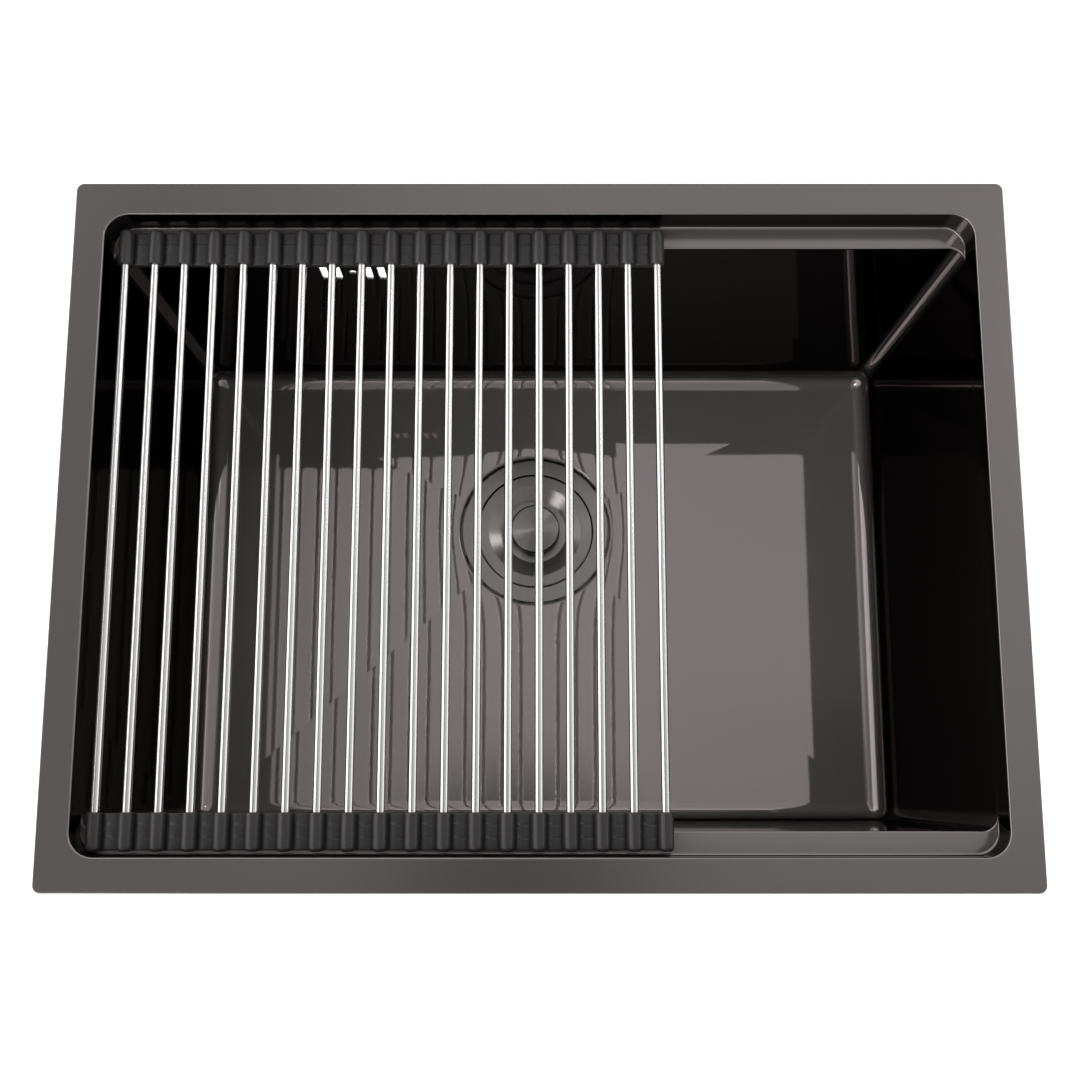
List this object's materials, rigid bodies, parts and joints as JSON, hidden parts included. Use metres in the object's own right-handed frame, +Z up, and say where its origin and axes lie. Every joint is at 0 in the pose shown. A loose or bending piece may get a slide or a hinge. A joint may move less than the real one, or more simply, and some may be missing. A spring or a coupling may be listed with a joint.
{
  "type": "kitchen sink",
  "caption": "Deep single-bowl workstation kitchen sink with front and back ledges, an overflow, a lidded basket strainer and a sliding roll-up drying rack.",
  "frame": {"origin": "the centre of the rim's outline, on the rim's top face, where the worktop's underside lies", "axes": "+X to the right along the rim's long side, +Y to the back wall with the overflow, +Z up"},
  "size_m": [0.61, 0.457, 0.3387],
  "materials": {
    "sink_steel": "satin dark coating, fine brushed grain",
    "bowl_steel": "semi-mirror dark coating, fine brushed grain",
    "strainer_steel": "turned and spun, dark coating",
    "bright_steel": "bright",
    "rod_steel": "bright, drawn along the rod",
    "silicone": "matt moulded silicone",
    "pad_rubber": "matt",
    "seal_rubber": "smooth",
    "fibre": "vulcanised fibre",
    "nylon": "moulded"
  },
  "bodies": {
    "sink": {"rim": "sink_steel", "collar_walls": "sink_steel", "collar_corners": "sink_steel", "ledges": "sink_steel", "bowl_walls": "bowl_steel", "overflow_plate": "bowl_steel", "wall_below_overflow": "bowl_steel", "bowl_corners": "bowl_steel", "side_bends": "bowl_steel", "end_bends": "bowl_steel", "foot_corners": "bowl_steel", "bowl": "bowl_steel", "floor_pads": "pad_rubber", "wall_pads": "pad_rubber", "strainer_body": "strainer_steel", "strainer_outlet": "strainer_steel", "flange_seal": "seal_rubber", "body_gasket": "seal_rubber", "friction_ring": "fibre", "lock_nut": "nylon"},
    "basket": {"basket": "bright_steel", "basket_grip": "bright_steel"},
    "lid": {"lid": "strainer_steel", "lid_knob": "strainer_steel", "lid_nut": "bright_steel"},
    "rack_19": {"rod_19": "rod_steel", "grip_19": "silicone"},
    "rack_18": {"rod_18": "rod_steel", "grip_18": "silicone"},
    "rack_17": {"rod_17": "rod_steel", "grip_17": "silicone"},
    "rack_16": {"rod_16": "rod_steel", "grip_16": "silicone"},
    "rack_15": {"rod_15": "rod_steel", "grip_15": "silicone"},
    "rack_14": {"rod_14": "rod_steel", "grip_14": "silicone"},
    "rack_13": {"rod_13": "rod_steel", "grip_13": "silicone"},
    "rack_12": {"rod_12": "rod_steel", "grip_12": "silicone"},
    "rack_11": {"rod_11": "rod_steel", "grip_11": "silicone"},
    "rack_10": {"rod_10": "rod_steel", "grip_10": "silicone"},
    "rack_09": {"rod_09": "rod_steel", "grip_09": "silicone"},
    "rack_08": {"rod_08": "rod_steel", "grip_08": "silicone"},
    "rack_07": {"rod_07": "rod_steel", "grip_07": "silicone"},
    "rack_06": {"rod_06": "rod_steel", "grip_06": "silicone"},
    "rack_05": {"rod_05": "rod_steel", "grip_05": "silicone"},
    "rack_04": {"rod_04": "rod_steel", "grip_04": "silicone"},
    "rack_03": {"rod_03": "rod_steel", "grip_03": "silicone"},
    "rack_02": {"rod_02": "rod_steel", "grip_02": "silicone"},
    "rack_01": {"rod_01": "rod_steel", "grip_01": "silicone"}
  },
  "joints": [
    {"name": "rack_slide", "type": "slide", "parent": "sink", "child": "rack_19", "axis": [1, 0, 0], "range_m": [0, 0.194]},
    {"name": "rack_roll_18", "type": "hinge", "parent": "rack_19", "child": "rack_18", "pos_m": [0.0682, -0.0014, -0.0151], "axis": [0, 1, 0], "range_deg": [0, 3]},
    {"name": "rack_roll_17", "type": "hinge", "parent": "rack_18", "child": "rack_17", "pos_m": [0.0486, -0.0014, -0.0151], "axis": [0, 1, 0], "range_deg": [0, 6]},
    {"name": "rack_roll_16", "type": "hinge", "parent": "rack_17", "child": "rack_16", "pos_m": [0.029, -0.0014, -0.0151], "axis": [0, 1, 0], "range_deg": [0, 9]},
    {"name": "rack_roll_15", "type": "hinge", "parent": "rack_16", "child": "rack_15", "pos_m": [0.0094, -0.0014, -0.0151], "axis": [0, 1, 0], "range_deg": [0, 12]},
    {"name": "rack_roll_14", "type": "hinge", "parent": "rack_15", "child": "rack_14", "pos_m": [-0.0102, -0.0014, -0.0151], "axis": [0, 1, 0], "range_deg": [0, 15]},
    {"name": "rack_roll_13", "type": "hinge", "parent": "rack_14", "child": "rack_13", "pos_m": [-0.0298, -0.0014, -0.0151], "axis": [0, 1, 0], "range_deg": [0, 18]},
    {"name": "rack_roll_12", "type": "hinge", "parent": "rack_13", "child": "rack_12", "pos_m": [-0.0494, -0.0014, -0.0151], "axis": [0, 1, 0], "range_deg": [0, 21]},
    {"name": "rack_roll_11", "type": "hinge", "parent": "rack_12", "child": "rack_11", "pos_m": [-0.069, -0.0014, -0.0151], "axis": [0, 1, 0], "range_deg": [0, 24]},
    {"name": "rack_roll_10", "type": "hinge", "parent": "rack_11", "child": "rack_10", "pos_m": [-0.0886, -0.0014, -0.0151], "axis": [0, 1, 0], "range_deg": [0, 27]},
    {"name": "rack_roll_09", "type": "hinge", "parent": "rack_10", "child": "rack_09", "pos_m": [-0.1082, -0.0014, -0.0151], "axis": [0, 1, 0], "range_deg": [0, 30]},
    {"name": "rack_roll_08", "type": "hinge", "parent": "rack_09", "child": "rack_08", "pos_m": [-0.1278, -0.0014, -0.0151], "axis": [0, 1, 0], "range_deg": [0, 33]},
    {"name": "rack_roll_07", "type": "hinge", "parent": "rack_08", "child": "rack_07", "pos_m": [-0.1474, -0.0014, -0.0151], "axis": [0, 1, 0], "range_deg": [0, 36]},
    {"name": "rack_roll_06", "type": "hinge", "parent": "rack_07", "child": "rack_06", "pos_m": [-0.167, -0.0014, -0.0151], "axis": [0, 1, 0], "range_deg": [0, 39]},
    {"name": "rack_roll_05", "type": "hinge", "parent": "rack_06", "child": "rack_05", "pos_m": [-0.1866, -0.0014, -0.0151], "axis": [0, 1, 0], "range_deg": [0, 42]},
    {"name": "rack_roll_04", "type": "hinge", "parent": "rack_05", "child": "rack_04", "pos_m": [-0.2062, -0.0014, -0.0151], "axis": [0, 1, 0], "range_deg": [0, 45]},
    {"name": "rack_roll_03", "type": "hinge", "parent": "rack_04", "child": "rack_03", "pos_m": [-0.2258, -0.0014, -0.0151], "axis": [0, 1, 0], "range_deg": [0, 48]},
    {"name": "rack_roll_02", "type": "hinge", "parent": "rack_03", "child": "rack_02", "pos_m": [-0.2454, -0.0014, -0.0151], "axis": [0, 1, 0], "range_deg": [0, 51]},
    {"name": "rack_roll_01", "type": "hinge", "parent": "rack_02", "child": "rack_01", "pos_m": [-0.265, -0.0014, -0.0151], "axis": [0, 1, 0], "range_deg": [0, 54]},
    {"name": "basket_lift", "type": "slide", "parent": "sink", "child": "basket", "axis": [0, 0, 1], "range_m": [0, 0.09]},
    {"name": "lid_lift", "type": "slide", "parent": "basket", "child": "lid", "axis": [0, 0, 1], "range_m": [0, 0.09]}
  ],
  "couplings": [
    {"joint": "rack_roll_17", "follows": "rack_roll_18", "ratio": 2},
    {"joint": "rack_roll_16", "follows": "rack_roll_18", "ratio": 3},
    {"joint": "rack_roll_15", "follows": "rack_roll_18", "ratio": 4},
    {"joint": "rack_roll_14", "follows": "rack_roll_18", "ratio": 5},
    {"joint": "rack_roll_13", "follows": "rack_roll_18", "ratio": 6},
    {"joint": "rack_roll_12", "follows": "rack_roll_18", "ratio": 7},
    {"joint": "rack_roll_11", "follows": "rack_roll_18", "ratio": 8},
    {"joint": "rack_roll_10", "follows": "rack_roll_18", "ratio": 9},
    {"joint": "rack_roll_09", "follows": "rack_roll_18", "ratio": 10},
    {"joint": "rack_roll_08", "follows": "rack_roll_18", "ratio": 11},
    {"joint": "rack_roll_07", "follows": "rack_roll_18", "ratio": 12},
    {"joint": "rack_roll_06", "follows": "rack_roll_18", "ratio": 13},
    {"joint": "rack_roll_05", "follows": "rack_roll_18", "ratio": 14},
    {"joint": "rack_roll_04", "follows": "rack_roll_18", "ratio": 15},
    {"joint": "rack_roll_03", "follows": "rack_roll_18", "ratio": 16},
    {"joint": "rack_roll_02", "follows": "rack_roll_18", "ratio": 17},
    {"joint": "rack_roll_01", "follows": "rack_roll_18", "ratio": 18}
  ]
}
